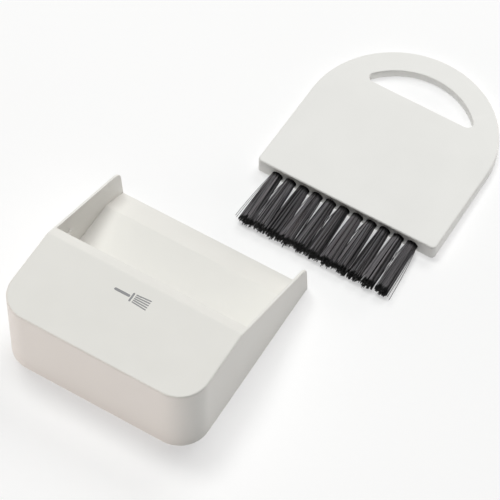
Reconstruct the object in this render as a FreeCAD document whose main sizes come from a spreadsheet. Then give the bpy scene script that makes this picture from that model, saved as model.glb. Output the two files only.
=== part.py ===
"""Tabletop dustpan with its hand brush lying beside it.

Frame: millimetres, +Z up, the table at z = 0, the origin below the middle of the
whole set. +X runs across the dustpan. +Y runs from the dustpan's back wall to its lip
and on to the brush, whose bristles point back at the lip and whose handle points away.
"""
import FreeCAD, Part

import math
import os
import re
import Sketcher

TUFT_COUNT = 11

DIMENSIONS = [
    # alias, value, meaning
    ("pan_width", 96.4, "dustpan, across the side walls"),
    ("pan_depth", 98.0, "dustpan, back wall to the tips of the side walls"),
    ("pan_height", 41.3, "dustpan, table to the cover plate"),
    ("wall", 1.3, "dustpan, thickness of every wall"),
    ("corner_radius", 14.0, "upright back corners, outside"),
    ("bend_depth", 41.3, "back wall to the bend where the top starts to slope"),
    ("tip_height", 17.7, "slope of the side walls, where it would meet their front ends"),
    ("tip_lean", 1.8, "how far the side walls' ends lean back at their tips"),
    ("cover_depth", 46.4, "back wall to the front edge of the cover plate"),
    ("floor_height", 8.4, "top of the level floor above the table"),
    ("crease_depth", 83.5, "back wall to the crease between floor and ramp"),
    ("lip_depth", 97.5, "back wall to the edge of the lip"),
    ("lip_height", 1.0, "thickness of the lip at its edge"),
    ("bend_radius", 3.0, "rounding of the bend"),
    ("tip_radius", 8.0, "rounding of the side walls' tips"),
    ("crease_radius", 2.0, "rounding of the crease"),
    ("rim_radius", 0.8, "rounding of the outer top edge"),
    ("inner_rim_radius", 0.35, "rounding of the inner top edge and of the cover's edge"),
    ("foot_radius", 0.5, "rounding of the bottom edge"),
    ("rib_front", 55.8, "back wall to the front of the two inner ribs"),
    ("rib_length", 2.6, "inner ribs, along the wall"),
    ("rib_depth", 1.1, "inner ribs, out from the wall"),
    ("rib_top", 25.8, "inner ribs, height of their tops"),
    ("brush_aside", 42.6, "brush centre line to the dustpan's, at the bristle end"),
    ("brush_ahead", 41.4, "bristle end of the brush plate beyond the dustpan's tips"),
    ("brush_turn", 0.4, "the brush lies turned this many degrees clockwise"),
    ("plate_width", 90.6, "brush plate, across"),
    ("plate_straight", 49.2, "brush plate, length of its straight sides"),
    ("plate_thick", 8.6, "brush plate at the bristle end"),
    ("plate_thin", 3.9, "brush plate at the end of the handle"),
    ("plate_corner", 2.0, "brush plate, upright corners at the bristle end"),
    ("plate_edge", 0.8, "rounding of the brush plate's long edges"),
    ("slot_flat", 66.8, "bristle end to the straight side of the finger slot"),
    ("slot_radius", 34.0, "round side of the finger slot, about the handle's centre"),
    ("slot_corner", 2.6, "rounding of the finger slot's two corners"),
    ("slot_edge", 0.5, "rounding of the finger slot's edges"),
    ("tuft_pitch", 6.9, "from one tuft to the next"),
    ("hole_radius", 2.75, "blind hole for a tuft"),
    ("hole_depth", 10.0, "blind hole for a tuft"),
    ("hole_height", 3.6, "axis of the tuft holes above the table"),
    ("tuft_radius", 2.3, "tuft where it leaves its hole"),
    ("tuft_flare", 3.2, "tuft at the bristle tips"),
    ("tuft_length", 28.5, "free length of the bristles"),
    ("tuft_seat", 9.8, "length of the folded tuft inside its hole"),
    ("staple_width", 6.2, "wire anchor, across the hole and into both sides of it"),
    ("staple_long", 1.6, "wire anchor, along the hole"),
    ("staple_thick", 0.5, "wire anchor, thickness"),
    ("staple_depth", 7.6, "mouth of the hole to the near side of the anchor"),
    ("spare", 6.0, "how far a cutting shape reaches past what it cuts"),
]

doc = FreeCAD.newDocument("brush_and_dustpan")
sheet = doc.addObject("Spreadsheet::Sheet", "Dimensions")
for row, (alias, value, meaning) in enumerate(DIMENSIONS, start=1):
    sheet.set(f"A{row}", alias)
    sheet.set(f"B{row}", str(value))
    sheet.set(f"C{row}", meaning)
    sheet.setAlias(f"B{row}", alias)
doc.recompute()

ALIAS = re.compile(r"\b(" + "|".join(alias for alias, _, _ in DIMENSIONS) + r")\b")

# Places in the set's frame, worked out from the driving dimensions. The origin is
# below the middle of the whole set: half way from the dustpan's left side to the
# brush's right side, and half way from its back wall to the end of the handle.
SET_RIGHT = "(brush_aside + plate_straight * sin(brush_turn * 1 deg) + plate_width / 2)"
SET_LENGTH = "(pan_depth + brush_ahead + plate_straight * cos(brush_turn * 1 deg) + plate_width / 2)"
PAN_X = f"(pan_width / 4 - {SET_RIGHT} / 2)"
PAN_Y = f"(-{SET_LENGTH} / 2)"
BRUSH_X = f"({PAN_X} + brush_aside)"
BRUSH_Y = f"({PAN_Y} + pan_depth + brush_ahead)"

# The dustpan's sloping top, the tips of its side walls and its ramp.
TOP_SLOPE = "((pan_height - tip_height) / (pan_depth - bend_depth))"
TIP_DEPTH = "(pan_depth - tip_lean)"
TIP_TOP = f"(tip_height + tip_lean * {TOP_SLOPE})"
RAMP_SLOPE = "((floor_height - lip_height) / (lip_depth - crease_depth))"


def cells(expression):
    """The expression with every alias read from the sheet."""
    return ALIAS.sub(r"Dimensions.\1", expression)


def size(expression):
    """The number that an expression of aliases gives."""
    return float(sheet.evalExpression(cells(expression)))


# ---------------------------------------------------------------- sketch helpers

def new_sketch(body, name, plane):
    """An empty sketch on one of the body's own origin planes."""
    sketch = body.newObject("Sketcher::SketchObject", name)
    features = body.Origin.OriginFeatures
    origin_plane = next(feature for feature in features if feature.Role == plane)
    sketch.AttachmentSupport = [(origin_plane, "")]
    sketch.MapMode = "FlatFace"
    return sketch


def pin_value(sketch, kind, first, second, name, expression):
    """One signed distance from the sketch's origin, bound to the sheet."""
    index = sketch.addConstraint(Sketcher.Constraint(kind, -1, 1, first, second, size(expression)))
    sketch.renameConstraint(index, name)
    sketch.setExpression(f"Constraints.{name}", cells(expression))


def pin_point(sketch, geometry, point, name, across, up):
    """Hold a point at (across, up); "0" puts it on the sketch's axis."""
    if across == "0":
        sketch.addConstraint(Sketcher.Constraint("PointOnObject", geometry, point, -2))
    else:
        pin_value(sketch, "DistanceX", geometry, point, f"{name}_x", across)
    if up == "0":
        sketch.addConstraint(Sketcher.Constraint("PointOnObject", geometry, point, -1))
    else:
        pin_value(sketch, "DistanceY", geometry, point, f"{name}_y", up)


def add_outline(sketch, corners, tag="corner"):
    """A closed outline of straight lines through corners given as expressions."""
    places = [FreeCAD.Vector(size(across), size(up), 0) for across, up in corners]
    count = len(places)
    lines = []
    for index in range(count):
        line = Part.LineSegment(places[index], places[(index + 1) % count])
        lines.append(sketch.addGeometry(line, False))
    for index, (across, up) in enumerate(corners):
        before = lines[index - 1]
        sketch.addConstraint(Sketcher.Constraint("Coincident", before, 2, lines[index], 1))
        pin_point(sketch, lines[index], 1, f"{tag}{index}", across, up)


def add_circle(sketch, name, radius, across, up):
    """A circle bound to the sheet."""
    centre = FreeCAD.Vector(size(across), size(up), 0)
    circle = sketch.addGeometry(Part.Circle(centre, FreeCAD.Vector(0, 0, 1), size(radius)), False)
    index = sketch.addConstraint(Sketcher.Constraint("Radius", circle, size(radius)))
    sketch.renameConstraint(index, f"{name}_radius")
    sketch.setExpression(f"Constraints.{name}_radius", cells(radius))
    pin_point(sketch, circle, 3, name, across, up)


def add_dome(sketch, half_width, base, centre_height):
    """A base line, two upright sides and a half circle on top of them."""
    centre = FreeCAD.Vector(0, size(centre_height), 0)
    left = -size(half_width)
    right = size(half_width)
    low = size(base)
    base_line = sketch.addGeometry(
        Part.LineSegment(FreeCAD.Vector(left, low, 0), FreeCAD.Vector(right, low, 0)), False)
    right_line = sketch.addGeometry(
        Part.LineSegment(FreeCAD.Vector(right, low, 0), FreeCAD.Vector(right, centre.y, 0)), False)
    circle = Part.Circle(centre, FreeCAD.Vector(0, 0, 1), right)
    arc = sketch.addGeometry(Part.ArcOfCircle(circle, 0, math.pi), False)
    left_line = sketch.addGeometry(
        Part.LineSegment(FreeCAD.Vector(left, centre.y, 0), FreeCAD.Vector(left, low, 0)), False)
    for first, first_end, second, second_end in (
            (base_line, 2, right_line, 1), (right_line, 2, arc, 1),
            (arc, 2, left_line, 1), (left_line, 2, base_line, 1)):
        sketch.addConstraint(Sketcher.Constraint("Coincident", first, first_end, second, second_end))
    pin_point(sketch, base_line, 1, "base_left", f"-({half_width})", base)
    pin_point(sketch, base_line, 2, "base_right", half_width, base)
    pin_point(sketch, right_line, 2, "side_right", half_width, centre_height)
    pin_point(sketch, left_line, 1, "side_left", f"-({half_width})", centre_height)
    pin_value(sketch, "DistanceY", arc, 3, "arc_centre", centre_height)


def add_bow(sketch, radius, flat, centre_height):
    """A straight line closed by an arc about a centre on the sketch's upright axis."""
    rise = size(flat) - size(centre_height)
    reach = math.sqrt(size(radius) ** 2 - rise ** 2)
    start = math.atan2(rise, reach)
    centre = FreeCAD.Vector(0, size(centre_height), 0)
    circle = Part.Circle(centre, FreeCAD.Vector(0, 0, 1), size(radius))
    arc = sketch.addGeometry(Part.ArcOfCircle(circle, start, math.pi - start), False)
    line = sketch.addGeometry(
        Part.LineSegment(FreeCAD.Vector(-reach, size(flat), 0), FreeCAD.Vector(reach, size(flat), 0)),
        False)
    sketch.addConstraint(Sketcher.Constraint("Coincident", arc, 2, line, 1))
    sketch.addConstraint(Sketcher.Constraint("Coincident", line, 2, arc, 1))
    sketch.addConstraint(Sketcher.Constraint("Horizontal", line))
    pin_point(sketch, arc, 3, "bow_centre", "0", centre_height)
    pin_value(sketch, "DistanceY", line, 1, "bow_flat", flat)
    index = sketch.addConstraint(Sketcher.Constraint("Radius", arc, size(radius)))
    sketch.renameConstraint(index, "bow_radius")
    sketch.setExpression("Constraints.bow_radius", cells(radius))


# --------------------------------------------------------------- feature helpers

def new_body(label):
    body = doc.addObject("PartDesign::Body", label)
    body.Label = label
    return body


def pad(body, name, sketch, length, side="One side"):
    feature = body.newObject("PartDesign::Pad", name)
    feature.Profile = sketch
    feature.SideType = side
    feature.setExpression("Length", cells(length))
    doc.recompute()
    return feature


def cut(body, name, sketch, length, side="Symmetric"):
    """A pocket that must take material away."""
    before = body.Shape.Volume
    feature = body.newObject("PartDesign::Pocket", name)
    feature.Profile = sketch
    feature.Type = "Length"
    feature.SideType = side
    feature.setExpression("Length", cells(length))
    doc.recompute()
    if body.Shape.Volume >= before:
        raise RuntimeError(f"{name} cuts nothing")
    return feature


def repeat_across(body, name, originals, length, count):
    """Repeat features along the body's X axis, about the middle of the row."""
    feature = body.newObject("PartDesign::LinearPattern", name)
    feature.Originals = originals
    x_axis = next(axis for axis in body.Origin.OriginFeatures if axis.Role == "X_Axis")
    feature.Direction = (x_axis, [""])
    feature.setExpression("Length", cells(length))
    feature.Occurrences = count
    body.Tip = feature
    doc.recompute()
    return feature


def cut_core(body, name, profile):
    """Cut a core out of the dustpan: a side profile carried from side wall to side
    wall, with its upright back corners rounded inside those of the outline."""
    core = new_body(f"{name}_core")
    sketch = new_sketch(core, f"{name}_profile", "YZ_Plane")
    add_outline(sketch, profile)
    pad(core, f"{name}_block", sketch, "pan_width - 2 * wall", side="Symmetric")
    round_edges(core, f"{name}_corners", "corner_radius - wall",
                lambda edge: runs_along(edge, 2) and same(middle(edge).y, size("wall")))
    before = body.Shape.Volume
    feature = body.newObject("PartDesign::Boolean", name)
    feature.Type = "Cut"
    feature.setObjects([core])
    doc.recompute()
    if body.Shape.Volume >= before:
        raise RuntimeError(f"{name} cuts nothing")


def round_edges(body, name, radius, wanted):
    """Fillet those edges of the body's tip for which wanted(edge) is true."""
    tip = body.Tip
    names = [f"Edge{number}" for number, edge in enumerate(tip.Shape.Edges, start=1) if wanted(edge)]
    if not names:
        raise RuntimeError(f"{name} finds no edge")
    feature = body.newObject("PartDesign::Fillet", name)
    feature.Base = (tip, names)
    feature.setExpression("Radius", cells(radius))
    doc.recompute()
    return feature


def middle(edge):
    return edge.valueAt((edge.FirstParameter + edge.LastParameter) / 2)


def same(first, second):
    return abs(first - second) < 0.02


def runs_along(edge, axis):
    """True for a straight edge along an axis: 0 for X, 1 for Y, 2 for Z."""
    if edge.Curve.TypeId != "Part::GeomLine":
        return False
    start, end = edge.valueAt(edge.FirstParameter), edge.valueAt(edge.LastParameter)
    step = end - start
    return all(abs(step[other]) < 1e-4 for other in range(3) if other != axis)


def border(faces):
    """The edges that belong to exactly one of the faces."""
    edges = [edge for face in faces for edge in face.Edges]
    return [edge for edge in edges if sum(edge.isSame(other) for other in edges) == 1]


def belongs(edge, group):
    return any(edge.isSame(other) for other in group)


def place(feature, across, along, turned):
    """Bind a placement to the sheet: (across, along) on the table, turned about Z."""
    feature.Placement = FreeCAD.Placement(FreeCAD.Vector(), FreeCAD.Rotation(FreeCAD.Vector(0, 0, 1), -1))
    feature.setExpression("Placement.Base.x", cells(across))
    feature.setExpression("Placement.Base.y", cells(along))
    if turned:
        feature.setExpression("Placement.Rotation.Angle", cells("-brush_turn * 1 deg"))
    else:
        feature.Placement = FreeCAD.Placement()


# ----------------------------------------------------------------------- dustpan

def make_dustpan():
    """One moulding, open at the front and below. Its own origin is at the table,
    below the middle of the back wall."""
    body = new_body("dustpan")
    half = size("pan_width") / 2

    outline = new_sketch(body, "pan_outline", "XY_Plane")
    add_outline(outline, [
        ("-pan_width / 2", "0"), ("pan_width / 2", "0"),
        ("pan_width / 2", "pan_depth"), ("-pan_width / 2", "pan_depth")])
    pad(body, "pan_block", outline, "pan_height")
    round_edges(body, "back_corners", "corner_radius",
                lambda edge: runs_along(edge, 2) and same(middle(edge).y, 0))

    over = "spare"
    slope = new_sketch(body, "slope_profile", "YZ_Plane")
    add_outline(slope, [
        ("bend_depth", "pan_height"),
        (TIP_DEPTH, TIP_TOP),
        (f"pan_depth + {over} * tip_lean / {TIP_TOP}", f"-{over}"),
        (f"pan_depth + {over}", f"-{over}"),
        (f"pan_depth + {over}", f"pan_height + {over}"),
        ("bend_depth", f"pan_height + {over}")])
    cut(body, "slope_cut", slope, "pan_width * 2")
    round_edges(body, "bend_rounding", "bend_radius",
                lambda edge: runs_along(edge, 0) and same(middle(edge).y, size("bend_depth")))
    round_edges(body, "tip_rounding", "tip_radius",
                lambda edge: runs_along(edge, 0) and same(middle(edge).y, size(TIP_DEPTH)))

    skin = [face for face in body.Tip.Shape.Faces if faces_up_or_front(face)]
    rim = [edge for edge in border(skin) if middle(edge).z > 0.1]
    round_edges(body, "rim_rounding", "rim_radius", lambda edge: belongs(edge, rim))
    round_edges(body, "foot_rounding", "foot_radius", lambda edge: same(middle(edge).z, 0))

    cavity = [
        ("wall", "floor_height"),
        ("crease_depth", "floor_height"),
        ("lip_depth", "lip_height"),
        ("lip_depth", f"-{over}"),
        (f"pan_depth + {over}", f"-{over}"),
        (f"pan_depth + {over}", f"pan_height + {over}"),
        ("cover_depth", f"pan_height + {over}"),
        ("cover_depth", f"pan_height - wall - (cover_depth - bend_depth) * {TOP_SLOPE}"),
        ("bend_depth", "pan_height - wall"),
        ("wall", "pan_height - wall")]
    cut_core(body, "cavity", cavity)
    round_edges(body, "crease_rounding", "crease_radius",
                lambda edge: (runs_along(edge, 0) and same(middle(edge).y, size("crease_depth"))
                              and same(middle(edge).z, size("floor_height"))))

    floor_below = "(floor_height - wall)"
    ramp_length = f"(({floor_below} + {over}) / {RAMP_SLOPE})"
    underside = [
        ("wall", f"-{over}"),
        (f"crease_depth - wall / 2 + {ramp_length}", f"-{over}"),
        ("crease_depth - wall / 2", floor_below),
        ("wall", floor_below)]
    cut_core(body, "underside", underside)
    inner = half - size("wall")

    def inner_rim(edge):
        """The side walls' inner top edges and the front edge of the cover."""
        spot = middle(edge)
        on_cover = runs_along(edge, 0) and same(spot.y, size("cover_depth"))
        if on_cover:
            return spot.z > size("tip_height")
        on_wall = same(abs(spot.x), inner) and spot.y > size("cover_depth") + 0.1
        return on_wall and spot.z > size("rib_top") and not runs_along(edge, 2)
    round_edges(body, "inner_rim_rounding", "inner_rim_radius", inner_rim)

    ribs = new_sketch(body, "rib_outlines", "XY_Plane")
    for side, sign in (("left", "-"), ("right", "")):
        root = f"{sign}(pan_width / 2 - wall / 2)"
        tip = f"{sign}(pan_width / 2 - wall - rib_depth)"
        back, front = "rib_front - rib_length", "rib_front"
        corners = [(root, back), (root, front), (tip, front), (tip, back)]
        add_outline(ribs, corners, tag=f"{side}_rib")
    ribs.AttachmentOffset = FreeCAD.Placement(FreeCAD.Vector(0, 0, size("floor_height")), FreeCAD.Rotation())
    ribs.setExpression("AttachmentOffset.Base.z", cells("floor_height - wall / 2"))
    pad(body, "ribs", ribs, "rib_top - floor_height + wall / 2")

    place(body, PAN_X, PAN_Y, turned=False)
    return body


def faces_up_or_front(face):
    """True for the faces of the dustpan's block that look up or towards the lip."""
    u_low, u_high, v_low, v_high = face.ParameterRange
    normal = face.normalAt((u_low + u_high) / 2, (v_low + v_high) / 2)
    return normal.z > 0.2 or normal.y > 0.9


# ------------------------------------------------------------------------- brush

def brush_spot(across):
    """Where a point of the bristle end lies on the table, as two expressions."""
    turn = "brush_turn * 1 deg"
    return (f"{BRUSH_X} + ({across}) * cos({turn})", f"{BRUSH_Y} - ({across}) * sin({turn})")


def make_brush_plate():
    """A wedge with a half-round handle end. Its own origin is at the table, below the
    middle of the bristle end; +Y points to the handle."""
    body = new_body("brush_plate")
    half = size("plate_width") / 2
    thick = size("plate_thick")
    plate_slope = "((plate_thick - plate_thin) / (plate_straight + plate_width / 2))"

    outline = new_sketch(body, "plate_outline", "XY_Plane")
    add_dome(outline, "plate_width / 2", "0", "plate_straight")
    pad(body, "plate_block", outline, "plate_thick + spare")

    top = new_sketch(body, "wedge_profile", "YZ_Plane")
    reach = "plate_straight + plate_width / 2 + spare"
    add_outline(top, [
        ("-spare", f"plate_thick + spare * {plate_slope}"),
        (reach, f"plate_thin - spare * {plate_slope}"),
        (reach, "plate_thick + 2 * spare"),
        ("-spare", "plate_thick + 2 * spare")])
    cut(body, "wedge_cut", top, "plate_width * 2")
    round_edges(body, "end_corners", "plate_corner",
                lambda edge: runs_along(edge, 2) and same(middle(edge).y, 0))

    def long_edge(edge):
        """The outline's edges on the top and bottom faces."""
        spot = middle(edge)
        return not runs_along(edge, 2) and (spot.z < 0.1 or spot.z > size("plate_thin") - 0.1)
    round_edges(body, "plate_edges", "plate_edge", long_edge)

    slot = new_sketch(body, "slot_outline", "XY_Plane")
    add_bow(slot, "slot_radius", "slot_flat", "plate_straight")
    cut(body, "finger_slot", slot, "plate_thick * 4")
    round_edges(body, "slot_corners", "slot_corner",
                lambda edge: runs_along(edge, 2) and same(middle(edge).y, size("slot_flat")))

    def slot_edge(edge):
        """The finger slot's outline on the top and bottom faces."""
        spot = middle(edge)
        outer = math.hypot(spot.x, spot.y - size("plate_straight")) > size("slot_radius") + 1
        return (spot.y > size("slot_flat") - 0.1 and not outer and not runs_along(edge, 2)
                and abs(spot.x) < half)
    round_edges(body, "slot_edges", "slot_edge", slot_edge)

    first_spot = f"-tuft_pitch * {(TUFT_COUNT - 1) // 2}"
    hole = new_sketch(body, "hole_outline", "XZ_Plane")
    add_circle(hole, "hole", "hole_radius", first_spot, "hole_height")
    first_hole = cut(body, "first_hole", hole, "hole_depth", side="One side")
    notch = new_sketch(body, "staple_seat_outline", "XY_Plane")
    add_outline(notch, [
        (f"{first_spot} - staple_width / 2", "staple_depth"),
        (f"{first_spot} + staple_width / 2", "staple_depth"),
        (f"{first_spot} + staple_width / 2", "staple_depth + staple_long"),
        (f"{first_spot} - staple_width / 2", "staple_depth + staple_long")])
    notch.AttachmentOffset = FreeCAD.Placement(FreeCAD.Vector(0, 0, thick / 2), FreeCAD.Rotation())
    notch.setExpression("AttachmentOffset.Base.z", cells("hole_height"))
    first_notch = cut(body, "first_staple_seat", notch, "staple_thick")
    one_hole = body.Shape.Volume
    repeat_across(body, "tuft_holes", [first_hole, first_notch],
                  f"tuft_pitch * {TUFT_COUNT - 1}", TUFT_COUNT)
    if body.Shape.Volume >= one_hole:
        raise RuntimeError("the row of tuft holes cuts nothing")

    place(body, BRUSH_X, BRUSH_Y, turned=True)
    return body


def make_tuft(number):
    """A bundle of bristles: a folded root in its hole and a flared free end. Its own
    origin is below the middle of the hole's mouth."""
    body = new_body(f"tuft_{number:02d}")
    half = new_sketch(body, f"tuft_profile_{number:02d}", "XY_Plane")
    add_outline(half, [
        ("0", "-tuft_length"), ("tuft_flare", "-tuft_length"),
        ("tuft_radius", "0"), ("tuft_radius", "tuft_seat"), ("0", "tuft_seat")])
    half.AttachmentOffset = FreeCAD.Placement(FreeCAD.Vector(0, 0, 1), FreeCAD.Rotation())
    half.setExpression("AttachmentOffset.Base.z", cells("hole_height"))
    turn = body.newObject("PartDesign::Revolution", f"bundle_{number:02d}")
    turn.Profile = half
    turn.ReferenceAxis = (half, ["V_Axis"])
    turn.Angle = 360
    doc.recompute()

    fold = new_sketch(body, f"fold_outline_{number:02d}", "XY_Plane")
    add_outline(fold, [
        ("-staple_width / 2", "staple_depth"), ("staple_width / 2", "staple_depth"),
        ("staple_width / 2", "staple_depth + staple_long"),
        ("-staple_width / 2", "staple_depth + staple_long")])
    fold.AttachmentOffset = FreeCAD.Placement(FreeCAD.Vector(0, 0, 1), FreeCAD.Rotation())
    fold.setExpression("AttachmentOffset.Base.z", cells("hole_height"))
    cut(body, f"fold_{number:02d}", fold, "staple_thick")

    steps = number - (TUFT_COUNT + 1) // 2
    place(body, *brush_spot(f"tuft_pitch * {steps}"), turned=True)
    return body


def make_staple(number):
    """The flat wire anchor that a tuft is folded over, driven across its hole."""
    staple = doc.addObject("Part::Box", f"staple_{number:02d}")
    staple.Label = f"staple_{number:02d}"
    staple.setExpression("Length", cells("staple_width"))
    staple.setExpression("Width", cells("staple_long"))
    staple.setExpression("Height", cells("staple_thick"))
    steps = number - (TUFT_COUNT + 1) // 2
    across, along = brush_spot(f"tuft_pitch * {steps} - staple_width / 2")
    turn = "brush_turn * 1 deg"
    place(staple, f"{across} + staple_depth * sin({turn})",
          f"{along} + staple_depth * cos({turn})", turned=True)
    staple.setExpression("Placement.Base.z", cells("hole_height - staple_thick / 2"))
    return staple


def check(parts):
    """Stop if any object failed or any sub-part's shape is unusable."""
    for feature in doc.Objects:
        if "Invalid" in feature.State or "Error" in feature.State:
            raise RuntimeError(f"{feature.Name} failed: {feature.State}")
    for part in parts:
        if part.Shape.isNull() or not part.Shape.isValid():
            raise RuntimeError(f"{part.Label} has no valid shape")
        if len(part.Shape.Solids) != 1:
            raise RuntimeError(f"{part.Label} has {len(part.Shape.Solids)} solids")


def main():
    parts = [make_dustpan(), make_brush_plate()]
    for number in range(1, TUFT_COUNT + 1):
        parts.append(make_tuft(number))
        parts.append(make_staple(number))
    doc.recompute()
    check(parts)
    os.makedirs("parts", exist_ok=True)
    for part in parts:
        part.Shape.exportStep(f"parts/{part.Label}.step")
        box = part.Shape.BoundBox
        print(f"{part.Label}: {part.Shape.Volume:.1f} mm3, x {box.XMin:.2f} {box.XMax:.2f}, "
              f"y {box.YMin:.2f} {box.YMax:.2f}, z {box.ZMin:.2f} {box.ZMax:.2f}")


main()
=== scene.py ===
"""Looks of a tabletop dustpan and its hand brush.

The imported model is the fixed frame. The two mouldings keep their CAD shapes and get a
satin plastic. Each CAD tuft is replaced by a bundle of single nylon filaments, and a
small generic pictogram stands where the dustpan carries its print. Lengths are metres.
"""
import math
import random

import bpy
from mathutils import Matrix, Vector


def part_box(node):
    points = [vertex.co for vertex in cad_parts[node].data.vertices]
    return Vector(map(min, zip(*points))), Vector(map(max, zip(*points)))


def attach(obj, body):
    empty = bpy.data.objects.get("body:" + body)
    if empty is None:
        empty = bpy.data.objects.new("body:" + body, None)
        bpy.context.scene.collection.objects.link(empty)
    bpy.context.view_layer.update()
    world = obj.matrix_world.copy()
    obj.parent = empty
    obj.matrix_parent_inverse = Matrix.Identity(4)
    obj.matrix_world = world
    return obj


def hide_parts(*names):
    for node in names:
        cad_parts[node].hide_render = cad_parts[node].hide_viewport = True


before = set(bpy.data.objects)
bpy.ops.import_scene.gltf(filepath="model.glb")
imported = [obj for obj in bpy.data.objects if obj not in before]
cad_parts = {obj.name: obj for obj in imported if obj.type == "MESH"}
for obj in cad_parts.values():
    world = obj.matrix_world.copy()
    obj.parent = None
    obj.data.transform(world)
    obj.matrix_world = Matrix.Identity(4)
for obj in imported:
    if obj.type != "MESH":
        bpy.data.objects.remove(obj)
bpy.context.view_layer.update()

MM = 0.001
SEED = 2024

# Camera, as found from the outlines of both pieces.
CAMERA_AIM = Vector((-3.44, -15.47, 0.0)) * MM
CAMERA_DISTANCE = 1173.4 * MM
CAMERA_AZIMUTH = 29.215
CAMERA_ELEVATION = 57.401
CAMERA_ROLL = 1.914
CAMERA_LENS = 191.98
CAMERA_SENSOR = 36.0

# Brush tufts. The free and seated lengths are those of the CAD tufts.
TUFT_COUNT = 11
TUFT_FREE = 28.5 * MM
TUFT_SEATED = 9.8 * MM
FILAMENTS = 120
LOCKS = 20
FILAMENT_RADIUS = 0.19 * MM
FILAMENT_SIDES = 5
FILAMENT_RINGS = 12
STRAY_RADIUS = FILAMENT_RADIUS * 0.75
# Half sizes of a tuft: inside its hole, at the hole's mouth, and across and up at the tips.
SEAT_RADIUS = 2.6 * MM
ROOT_RADIUS = 2.38 * MM
TIP_WIDTH = 4.0 * MM
TIP_HEIGHT = 3.05 * MM
# The bundle hangs a little below its hole's axis, and a little to one side.
ROOT_SAG = 0.25 * MM
ROOT_ASIDE = -0.1 * MM
# How far the filaments go back into the hole, and where that counts on their own length.
SEAT_SHOWN = 2.2 * MM
SEAT_REACH = -0.08
# Below 1, the bundle opens fastest near its hole.
OPENING_RATE = 0.75
# A filament's random differences: standard deviations of its tip, bow and length.
TIP_SCATTER_ACROSS = 0.15 * MM
TIP_SCATTER_UP = 0.10 * MM
BOW_SCATTER = 0.12 * MM
LENGTH_SCATTER = 0.018
EDGE_SHORTER = 0.008
# A lock is a place that the filaments near it are drawn towards.
LOCK_SHIFT = 0.12 * MM
LOCK_GATHER = (0.1, 0.5)
# A filament's tone is one of these, moved by its lock's and lowered by painted shade on the
# bundle's side towards the last tuft and underneath.
FILAMENT_TONES = (0.0, 0.1, 0.6, 0.75, 0.85, 1.0)
LOCK_TONE_SHARE = 0.5
LOCK_TONE_MIDDLE = 0.4
SIDE_PAINTED_SHADE = 0.5
SIDE_PAINTED_SHADE_START = 0.1
UNDER_PAINTED_SHADE = 0.25
STRAY_TONE = 0.5
STRAY_BOW = 0.2 * MM
STRAY_EDGE = 0.95
GOLDEN_ANGLE = math.pi * (3.0 - math.sqrt(5.0))

# Print on the cover: place of its centre from the dustpan's middle and back wall.
MARK_ASIDE = -0.5 * MM
MARK_AHEAD = 32.7 * MM
MARK_THICKNESS = 0.03 * MM
MARK_SUNK = 0.3
# Strokes as start, end and width in millimetres, and the bristles' run and spacing.
MARK_HANDLE = ((-8.0, 0.0), (-1.6, 0.0), 1.3)
MARK_COLLAR = ((-0.1, -1.9), (-0.1, 1.9), 0.9)
MARK_BRISTLE_ENDS = (1.3, 7.9)
MARK_BRISTLE_SPACING = (0.95, 1.2)
MARK_BRISTLE_WIDTH = 0.6

# Plastic and print colours, as linear red, green and blue.
DUSTPAN_WHITE = (0.885, 0.872, 0.83)
BRUSH_WHITE = (0.915, 0.91, 0.882)

# Softboxes: name, place, size, power in watts and colour. Those above are aimed at the
# middle of the table, those at the side a little over it.
FROM_ABOVE = (
    ("overhead", (0.0, 0.2, 2.2), (0.7, 0.7), 11.0, (1.0, 1.0, 1.0)),
    ("upper_left", (-0.7, 0.3, 2.1), (0.6, 0.6), 17.6, (0.98, 1.0, 0.98)),
    ("upper_back", (-0.1, 1.2, 1.5), (0.9, 0.7), 9.9, (1.0, 1.0, 1.0)),
)
FROM_THE_SIDE = (
    ("near_card", (-0.75, -1.2, 0.12), (1.3, 0.24), 6.6, (1.0, 0.84, 0.78)),
    ("right_back", (0.7, 1.4, 0.3), (0.9, 0.5), 6.8, (1.0, 0.95, 0.93)),
)
TABLE_MIDDLE = (0.0, 0.0, 0.0)
PIECE_HEIGHT = (0.0, 0.0, 0.02)
ROOM_STRENGTH = 0.005
TABLE_GLOW = 0.50
TABLE_HALF = 5.0


# ------------------------------------------------------------------ node helpers

def new_material(name):
    """A material with an empty node tree, its tree and its Principled shader."""
    material = bpy.data.materials.new(name)
    material.use_nodes = True
    tree = material.node_tree
    tree.nodes.clear()
    output = tree.nodes.new("ShaderNodeOutputMaterial")
    shader = tree.nodes.new("ShaderNodeBsdfPrincipled")
    tree.links.new(shader.outputs["BSDF"], output.inputs["Surface"])
    return material, tree, shader


def object_noise(tree, scale, detail, roughness=0.5, stretch=(1.0, 1.0, 1.0)):
    """Noise over the object's own coordinates, scale in features per metre."""
    place = tree.nodes.new("ShaderNodeTexCoord")
    mapping = tree.nodes.new("ShaderNodeMapping")
    mapping.inputs["Scale"].default_value = stretch
    noise = tree.nodes.new("ShaderNodeTexNoise")
    noise.inputs["Scale"].default_value = scale
    noise.inputs["Detail"].default_value = detail
    noise.inputs["Roughness"].default_value = roughness
    tree.links.new(place.outputs["Object"], mapping.inputs["Vector"])
    tree.links.new(mapping.outputs["Vector"], noise.inputs["Vector"])
    return noise.outputs["Fac"]


def ranged(tree, value, low, high, start=0.3, end=0.7):
    """value between start and end, moved to low and high."""
    node = tree.nodes.new("ShaderNodeMapRange")
    node.inputs["From Min"].default_value = start
    node.inputs["From Max"].default_value = end
    node.inputs["To Min"].default_value = low
    node.inputs["To Max"].default_value = high
    tree.links.new(value, node.inputs["Value"])
    return node.outputs["Result"]


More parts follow.
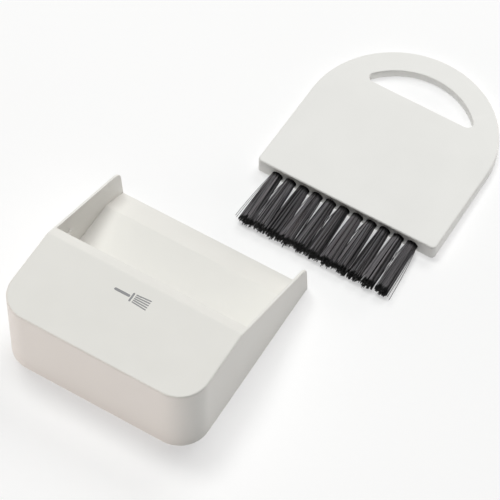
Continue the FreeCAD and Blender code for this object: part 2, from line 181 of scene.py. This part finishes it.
def mixed(tree, share, first, second, blend="MIX"):
    """Two colours, each a tuple or an output, mixed by share."""
    node = tree.nodes.new("ShaderNodeMix")
    node.data_type = "RGBA"
    node.blend_type = blend
    for socket, source in ((0, share), (6, first), (7, second)):
        if isinstance(source, bpy.types.NodeSocket):
            tree.links.new(source, node.inputs[socket])
        elif socket == 0:
            node.inputs[socket].default_value = source
        else:
            node.inputs[socket].default_value = (*source, 1.0)
    return node.outputs[2]


def bumped(tree, shader, heights):
    """Chains a bump for each (height output, strength, distance) into the shader's normal."""
    last = None
    for height, strength, distance in heights:
        node = tree.nodes.new("ShaderNodeBump")
        node.inputs["Strength"].default_value = strength
        node.inputs["Distance"].default_value = distance
        tree.links.new(height, node.inputs["Height"])
        if last is not None:
            tree.links.new(last, node.inputs["Normal"])
        last = node.outputs["Normal"]
    tree.links.new(last, shader.inputs["Normal"])


# --------------------------------------------------------------------- materials

def moulded_plastic(name, colour, cloud):
    """Satin off-white moulding: faint clouding, a painted highlight on convex edges and a fine
    spark texture.
    """
    material, tree, shader = new_material(name)
    darker = tuple(channel * 0.972 for channel in colour)
    highlight_colour = tuple(min(1.0, channel * 1.05) for channel in colour)
    clouds = ranged(tree, object_noise(tree, cloud, 3.0), 0.0, 1.0)
    body = mixed(tree, clouds, darker, colour)
    geometry = tree.nodes.new("ShaderNodeNewGeometry")
    # Painted highlight: convex edges are made lighter, as where a rounded rim catches the light.
    edge_highlight = ranged(tree, geometry.outputs["Pointiness"], 0.0, 0.5, 0.505, 0.56)
    tree.links.new(mixed(tree, edge_highlight, body, highlight_colour), shader.inputs["Base Color"])
    handled = object_noise(tree, 45.0, 4.0, 0.6)
    tree.links.new(ranged(tree, handled, 0.40, 0.52), shader.inputs["Roughness"])
    shader.inputs["IOR"].default_value = 1.49
    spark = object_noise(tree, 3200.0, 2.0)
    ripple = object_noise(tree, 90.0, 2.0)
    bumped(tree, shader, ((spark, 0.10, 0.02 * MM), (ripple, 0.03, 0.10 * MM)))
    return material


def nylon(name):
    """Charcoal filament: its own tone each, painted shade at the roots and at the cut ends, faint
    draw lines.
    """
    material, tree, shader = new_material(name)
    tone = tree.nodes.new("ShaderNodeAttribute")
    tone.attribute_name = "tone"
    reach = tree.nodes.new("ShaderNodeAttribute")
    reach.attribute_name = "reach"
    tint = tree.nodes.new("ShaderNodeAttribute")
    tint.attribute_name = "tint"
    cool = mixed(tree, tone.outputs["Fac"], (0.006, 0.006, 0.007), (0.20, 0.198, 0.21))
    warm = mixed(tree, tone.outputs["Fac"], (0.008, 0.006, 0.007), (0.22, 0.198, 0.207))
    shaft = mixed(tree, tint.outputs["Fac"], cool, warm)
    # Painted shade: near black where the filaments leave the hole.
    root_shade_share = ranged(tree, reach.outputs["Fac"], 1.0, 0.0, 0.025, 0.075)
    shaft_with_root_shade = mixed(tree, root_shade_share, shaft, (0.003, 0.003, 0.003))
    # Painted shade: near black at the cut ends of the tips.
    tip_shade_share = ranged(tree, reach.outputs["Fac"], 0.0, 1.0, 0.93, 0.96)
    tree.links.new(mixed(tree, tip_shade_share, shaft_with_root_shade, (0.004, 0.004, 0.004)), shader.inputs["Base Color"])
    lines = object_noise(tree, 900.0, 3.0, 0.6, (1.0, 0.12, 1.0))
    tree.links.new(ranged(tree, lines, 0.34, 0.55), shader.inputs["Roughness"])
    shader.inputs["IOR"].default_value = 1.50
    bumped(tree, shader, ((lines, 0.15, 0.01 * MM),))
    return material


def flattened_wire(name):
    """Bright drawn wire, brushed along its length."""
    material, tree, shader = new_material(name)
    shader.inputs["Metallic"].default_value = 1.0
    drawn = object_noise(tree, 2500.0, 3.0, 0.6, (0.08, 1.0, 1.0))
    colour = mixed(tree, ranged(tree, drawn, 0.0, 1.0), (0.50, 0.50, 0.51), (0.66, 0.66, 0.67))
    tree.links.new(colour, shader.inputs["Base Color"])
    tree.links.new(ranged(tree, drawn, 0.28, 0.42), shader.inputs["Roughness"])
    bumped(tree, shader, ((drawn, 0.1, 0.01 * MM),))
    return material


def printed_ink(name):
    """Grey pad-printed ink, a little uneven."""
    material, tree, shader = new_material(name)
    uneven = object_noise(tree, 1500.0, 3.0)
    colour = mixed(tree, ranged(tree, uneven, 0.0, 1.0), (0.26, 0.26, 0.27), (0.32, 0.32, 0.33))
    tree.links.new(colour, shader.inputs["Base Color"])
    tree.links.new(ranged(tree, uneven, 0.45, 0.6), shader.inputs["Roughness"])
    bumped(tree, shader, ((uneven, 0.1, 0.01 * MM),))
    return material


def pale_table(name):
    """Plain white table top with a glow of its own, so that it stays white in the shadows."""
    material, tree, shader = new_material(name)
    grain = object_noise(tree, 3.0, 2.0)
    colour = mixed(tree, ranged(tree, grain, 0.0, 1.0), (0.50, 0.50, 0.50), (0.52, 0.52, 0.52))
    tree.links.new(colour, shader.inputs["Base Color"])
    shader.inputs["Roughness"].default_value = 0.6
    shader.inputs["Emission Color"].default_value = (1.0, 1.0, 1.0, 1.0)
    shader.inputs["Emission Strength"].default_value = TABLE_GLOW
    return material


# ------------------------------------------------------------------ mesh helpers

def mesh_object(name, points, faces, material, smooth=True):
    """A mesh object in the part's own frame, in metres."""
    mesh = bpy.data.meshes.new(name)
    mesh.from_pydata(points, [], faces)
    mesh.polygons.foreach_set("use_smooth", [smooth] * len(mesh.polygons))
    mesh.materials.append(material)
    mesh.update()
    made = bpy.data.objects.new(name, mesh)
    bpy.context.scene.collection.objects.link(made)
    return made


def node_centre(node):
    """Middle of a CAD node's box."""
    low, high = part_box(node)
    return (low + high) / 2


def tuft_name(index):
    return f"tuft_{index:02d}"


# The tufts stand in one straight row across the brush.
ALONG = (node_centre(tuft_name(TUFT_COUNT)) - node_centre(tuft_name(1))).normalized()
OUT = Vector((ALONG.y, -ALONG.x, 0.0))
UP = Vector((0.0, 0.0, 1.0))


class Tuft:
    """Points, faces and vertex values of one bundle of filaments."""

    def __init__(self, index):
        self.draw = random.Random(SEED + index)
        self.mouth = node_centre(tuft_name(index)) - OUT * (TUFT_FREE - TUFT_SEATED) / 2
        self.points = []
        self.faces = []
        self.values = {"tone": [], "reach": [], "tint": []}

    def add_filament(self, route, radius, tone, tint):
        """One closed tube along route, a list of (point, share of the free length)."""
        first = len(self.points)
        count = len(route)
        spin = self.draw.uniform(0.0, math.tau)
        for step, (point, reach) in enumerate(route):
            before = route[max(step - 1, 0)][0]
            after = route[min(step + 1, count - 1)][0]
            axis = (after - before).normalized()
            side = axis.cross(UP).normalized()
            top = side.cross(axis)
            for corner in range(FILAMENT_SIDES):
                angle = spin + math.tau * corner / FILAMENT_SIDES
                offset = side * math.cos(angle) + top * math.sin(angle)
                self.points.append(point + offset * radius)
                self.values["tone"].append(tone)
                self.values["tint"].append(tint)
                self.values["reach"].append(reach)
        for step in range(count - 1):
            ring = first + step * FILAMENT_SIDES
            for corner in range(FILAMENT_SIDES):
                following = (corner + 1) % FILAMENT_SIDES
                self.faces.append((ring + corner, ring + following,
                                   ring + FILAMENT_SIDES + following,
                                   ring + FILAMENT_SIDES + corner))
        last = first + (count - 1) * FILAMENT_SIDES
        self.faces.append(tuple(first + corner for corner in reversed(range(FILAMENT_SIDES))))
        self.faces.append(tuple(last + corner for corner in range(FILAMENT_SIDES)))

    def build(self, name, material):
        """The bundle as one object."""
        made = mesh_object(name, self.points, self.faces, material)
        for key, numbers in self.values.items():
            attribute = made.data.attributes.new(key, "FLOAT", "POINT")
            attribute.data.foreach_set("value", numbers)
        return made


# Lean of each tuft at its tips in millimetres, and its share of the full tip width.
TUFT_LEAN = (0.5, 0.1, 0.0, -0.2, 0.0, -0.1, 0.15, -0.05, 0.1, -0.15, 0.25)
TUFT_SPREAD = (0.86, 1.0, 1.02, 0.95, 0.9, 0.9, 0.94, 0.94, 0.93, 0.89, 0.84)
# Loose filaments of each tuft: tip across and up in millimetres, share of the free length.
STRAYS = {
    1: ((-4.0, 0.2, 1.0), (-5.0, -0.3, 0.97)),
    2: ((-4.9, 1.2, 0.93),),
    4: ((-4.9, 0.8, 0.95),),
    6: ((-5.4, 0.2, 0.93), (-4.8, 1.4, 0.98)),
    8: ((-5.2, 0.6, 0.95), (-4.6, 1.4, 0.9)),
    10: ((4.4, 0.8, 0.98),),
    11: ((-4.6, 0.5, 1.0), (-3.9, -0.8, 0.96), (4.2, 0.4, 1.03), (5.6, 0.2, 1.07)),
}


def filament_route(tuft, root, tip, length, bow):
    """Points from inside the hole to the tip, root and tip as offsets across and up."""
    packing = SEAT_RADIUS / ROOT_RADIUS
    seat = tuft.mouth - OUT * SEAT_SHOWN + ALONG * root[0] * packing + UP * root[1] * packing
    route = [(seat, SEAT_REACH)]
    for step in range(FILAMENT_RINGS):
        share = step / (FILAMENT_RINGS - 1)
        spread = share ** OPENING_RATE
        swell = math.sin(math.pi * share)
        across = root[0] + (tip[0] - root[0]) * spread + bow[0] * swell
        rise = root[1] + (tip[1] - root[1]) * spread + bow[1] * swell
        point = tuft.mouth + OUT * length * share + ALONG * across + UP * rise
        route.append((point, share))
    return route


def make_locks(draw):
    """Places in the bundle's disc, shades and sideways shifts of one tuft's locks."""
    locks = []
    for number in range(LOCKS):
        radial = math.sqrt((number + 0.5) / LOCKS)
        angle = number * GOLDEN_ANGLE + draw.uniform(-0.5, 0.5)
        locks.append((radial * math.cos(angle), radial * math.sin(angle),
                      draw.uniform(0.05, 0.95), draw.gauss(0, LOCK_SHIFT)))
    return locks


def painted_shade_at(disc):
    """Painted shade: how much darker a filament is made on the side towards the last tuft, and
    underneath.
    """
    return (SIDE_PAINTED_SHADE * max(0.0, disc[0] - SIDE_PAINTED_SHADE_START)
            + UNDER_PAINTED_SHADE * max(0.0, -disc[1]))


def fill_tuft(tuft, index):
    """All filaments of one tuft: a packed bundle that opens into locks, and a few loose ones."""
    draw = tuft.draw
    lean = TUFT_LEAN[index - 1] * MM
    width = TIP_WIDTH * TUFT_SPREAD[index - 1]
    locks = make_locks(draw)
    for number in range(FILAMENTS):
        radial = math.sqrt((number + 0.5) / FILAMENTS)
        angle = number * GOLDEN_ANGLE + draw.uniform(-0.2, 0.2)
        disc = (radial * math.cos(angle), radial * math.sin(angle))
        near = min(locks, key=lambda lock: (lock[0] - disc[0]) ** 2 + (lock[1] - disc[1]) ** 2)
        gather = draw.uniform(*LOCK_GATHER)
        drawn = (disc[0] + (near[0] - disc[0]) * gather, disc[1] + (near[1] - disc[1]) * gather)
        root = (disc[0] * ROOT_RADIUS + ROOT_ASIDE, disc[1] * ROOT_RADIUS - ROOT_SAG)
        tip = (drawn[0] * width + lean + near[3] + draw.gauss(0, TIP_SCATTER_ACROSS),
               drawn[1] * TIP_HEIGHT - ROOT_SAG + draw.gauss(0, TIP_SCATTER_UP))
        length = TUFT_FREE * (1.0 + draw.gauss(0, LENGTH_SCATTER) - EDGE_SHORTER * radial)
        bow = (draw.gauss(0, BOW_SCATTER), draw.gauss(0, BOW_SCATTER))
        own = draw.choice(FILAMENT_TONES)
        # The tone is lowered by painted shade on the side towards the last tuft and underneath.
        tone = own + LOCK_TONE_SHARE * (near[2] - LOCK_TONE_MIDDLE) - painted_shade_at(disc)
        tone = min(1.0, max(0.0, tone))
        route = filament_route(tuft, root, tip, length, bow)
        tuft.add_filament(route, FILAMENT_RADIUS, tone, draw.random())
    for across, rise, share in STRAYS.get(index, ()):
        root = (math.copysign(ROOT_RADIUS * STRAY_EDGE, across), draw.uniform(-0.4, 0.6) * MM)
        bow = (math.copysign(STRAY_BOW, across), 0.0)
        route = filament_route(tuft, root, (across * MM, rise * MM), TUFT_FREE * share, bow)
        tuft.add_filament(route, STRAY_RADIUS, STRAY_TONE, draw.random())


def make_tufts():
    """A bundle of filaments in the place of every CAD tuft."""
    material = nylon("nylon_filament")
    for index in range(1, TUFT_COUNT + 1):
        tuft = Tuft(index)
        fill_tuft(tuft, index)
        made = tuft.build(f"bristles_{index:02d}", material)
        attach(made, "brush")
        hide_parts(tuft_name(index))


# ------------------------------------------------------------------------- print

def stroke_outline(start, end, width, turns=10):
    """A stroke with round ends, as points in the print's own plane."""
    run = Vector(end) - Vector(start)
    heading = math.atan2(run.y, run.x)
    points = []
    for centre, base in ((end, heading - math.pi / 2), (start, heading + math.pi / 2)):
        for turn in range(turns + 1):
            angle = base + math.pi * turn / turns
            points.append((centre[0] + width / 2 * math.cos(angle),
                           centre[1] + width / 2 * math.sin(angle)))
    return points


def make_print():
    """A generic pictogram of a brush lying on its side: handle, collar and bristles."""
    low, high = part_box("dustpan")
    centre = Vector(((low.x + high.x) / 2 + MARK_ASIDE, low.y + MARK_AHEAD, high.z))
    strokes = [MARK_HANDLE, MARK_COLLAR]
    near_end, far_end = MARK_BRISTLE_ENDS
    near_gap, far_gap = MARK_BRISTLE_SPACING
    for row in range(-2, 3):
        strokes.append(((near_end, row * near_gap), (far_end, row * far_gap), MARK_BRISTLE_WIDTH))
    points = []
    faces = []
    for start, end, width in strokes:
        outline = stroke_outline(start, end, width)
        first = len(points)
        count = len(outline)
        for level in (-MARK_SUNK, 1.0):
            for x, y in outline:
                points.append(centre + Vector((x * MM, y * MM, level * MARK_THICKNESS)))
        for corner in range(count):
            following = (corner + 1) % count
            faces.append((first + corner, first + following,
                          first + count + following, first + count + corner))
        faces.append(tuple(first + corner for corner in reversed(range(count))))
        faces.append(tuple(first + count + corner for corner in range(count)))
    made = mesh_object("print_mark", points, faces, printed_ink("pad_print"), smooth=False)
    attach(made, "pan")


# ---------------------------------------------------------------- CAD node looks

def dress(node, material):
    """Gives a CAD node a finished material in place of its plain one."""
    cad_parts[node].data.materials[0] = material


def dress_frame():
    """Plastic on both mouldings and wire on the staples."""
    dress("dustpan", moulded_plastic("dustpan_plastic", DUSTPAN_WHITE, 24.0))
    dress("brush_plate", moulded_plastic("brush_plastic", BRUSH_WHITE, 30.0))
    wire = flattened_wire("anchor_wire")
    for index in range(1, TUFT_COUNT + 1):
        dress(f"staple_{index:02d}", wire)


# ------------------------------------------------------------------------ studio

def make_floor():
    """The table top that everything stands on."""
    half = TABLE_HALF
    corners = [(-half, -half, 0), (half, -half, 0), (half, half, 0), (-half, half, 0)]
    floor = mesh_object("table_top", corners, [(0, 1, 2, 3)], pale_table("table_white"))


def add_softbox(aim, name, place, size, power, colour):
    """An area light at place, pointed at aim, size as (width, height)."""
    light = bpy.data.lights.new(name, "AREA")
    light.shape = "RECTANGLE"
    light.size = size[0]
    light.size_y = size[1]
    light.energy = power
    light.color = colour
    lamp = bpy.data.objects.new(name, light)
    lamp.location = place
    lamp.rotation_mode = "QUATERNION"
    lamp.rotation_quaternion = (Vector(aim) - Vector(place)).to_track_quat("-Z", "Y")
    bpy.context.scene.collection.objects.link(lamp)


def make_light():
    """A dim room, a key softbox up on the left, weaker ones about it, and a low near card."""
    world = bpy.data.worlds.new("dim_room")
    world.use_nodes = True
    background = world.node_tree.nodes["Background"]
    background.inputs["Color"].default_value = (1.0, 0.99, 0.98, 1.0)
    background.inputs["Strength"].default_value = ROOM_STRENGTH
    bpy.context.scene.world = world
    for softbox in FROM_ABOVE:
        add_softbox(TABLE_MIDDLE, *softbox)
    for softbox in FROM_THE_SIDE:
        add_softbox(PIECE_HEIGHT, *softbox)


def make_camera():
    """The camera on its sphere about the point it looks at, rolled about its own axis."""
    azimuth = math.radians(CAMERA_AZIMUTH)
    elevation = math.radians(CAMERA_ELEVATION)
    back = Vector((math.sin(azimuth) * math.cos(elevation),
                   -math.cos(azimuth) * math.cos(elevation),
                   math.sin(elevation)))
    level = back.to_track_quat("Z", "Y")
    roll = Matrix.Rotation(math.radians(CAMERA_ROLL), 4, "Z")
    data = bpy.data.cameras.new("camera")
    data.lens = CAMERA_LENS
    data.sensor_width = CAMERA_SENSOR
    data.clip_start = 0.05
    data.clip_end = 30.0
    camera = bpy.data.objects.new("camera", data)
    camera.matrix_world = (Matrix.Translation(CAMERA_AIM + back * CAMERA_DISTANCE)
                           @ level.to_matrix().to_4x4() @ roll)
    bpy.context.scene.collection.objects.link(camera)
    bpy.context.scene.camera = camera


bpy.context.scene.view_settings.view_transform = "Standard"
dress_frame()
make_tufts()
make_print()
make_floor()
make_light()
make_camera()
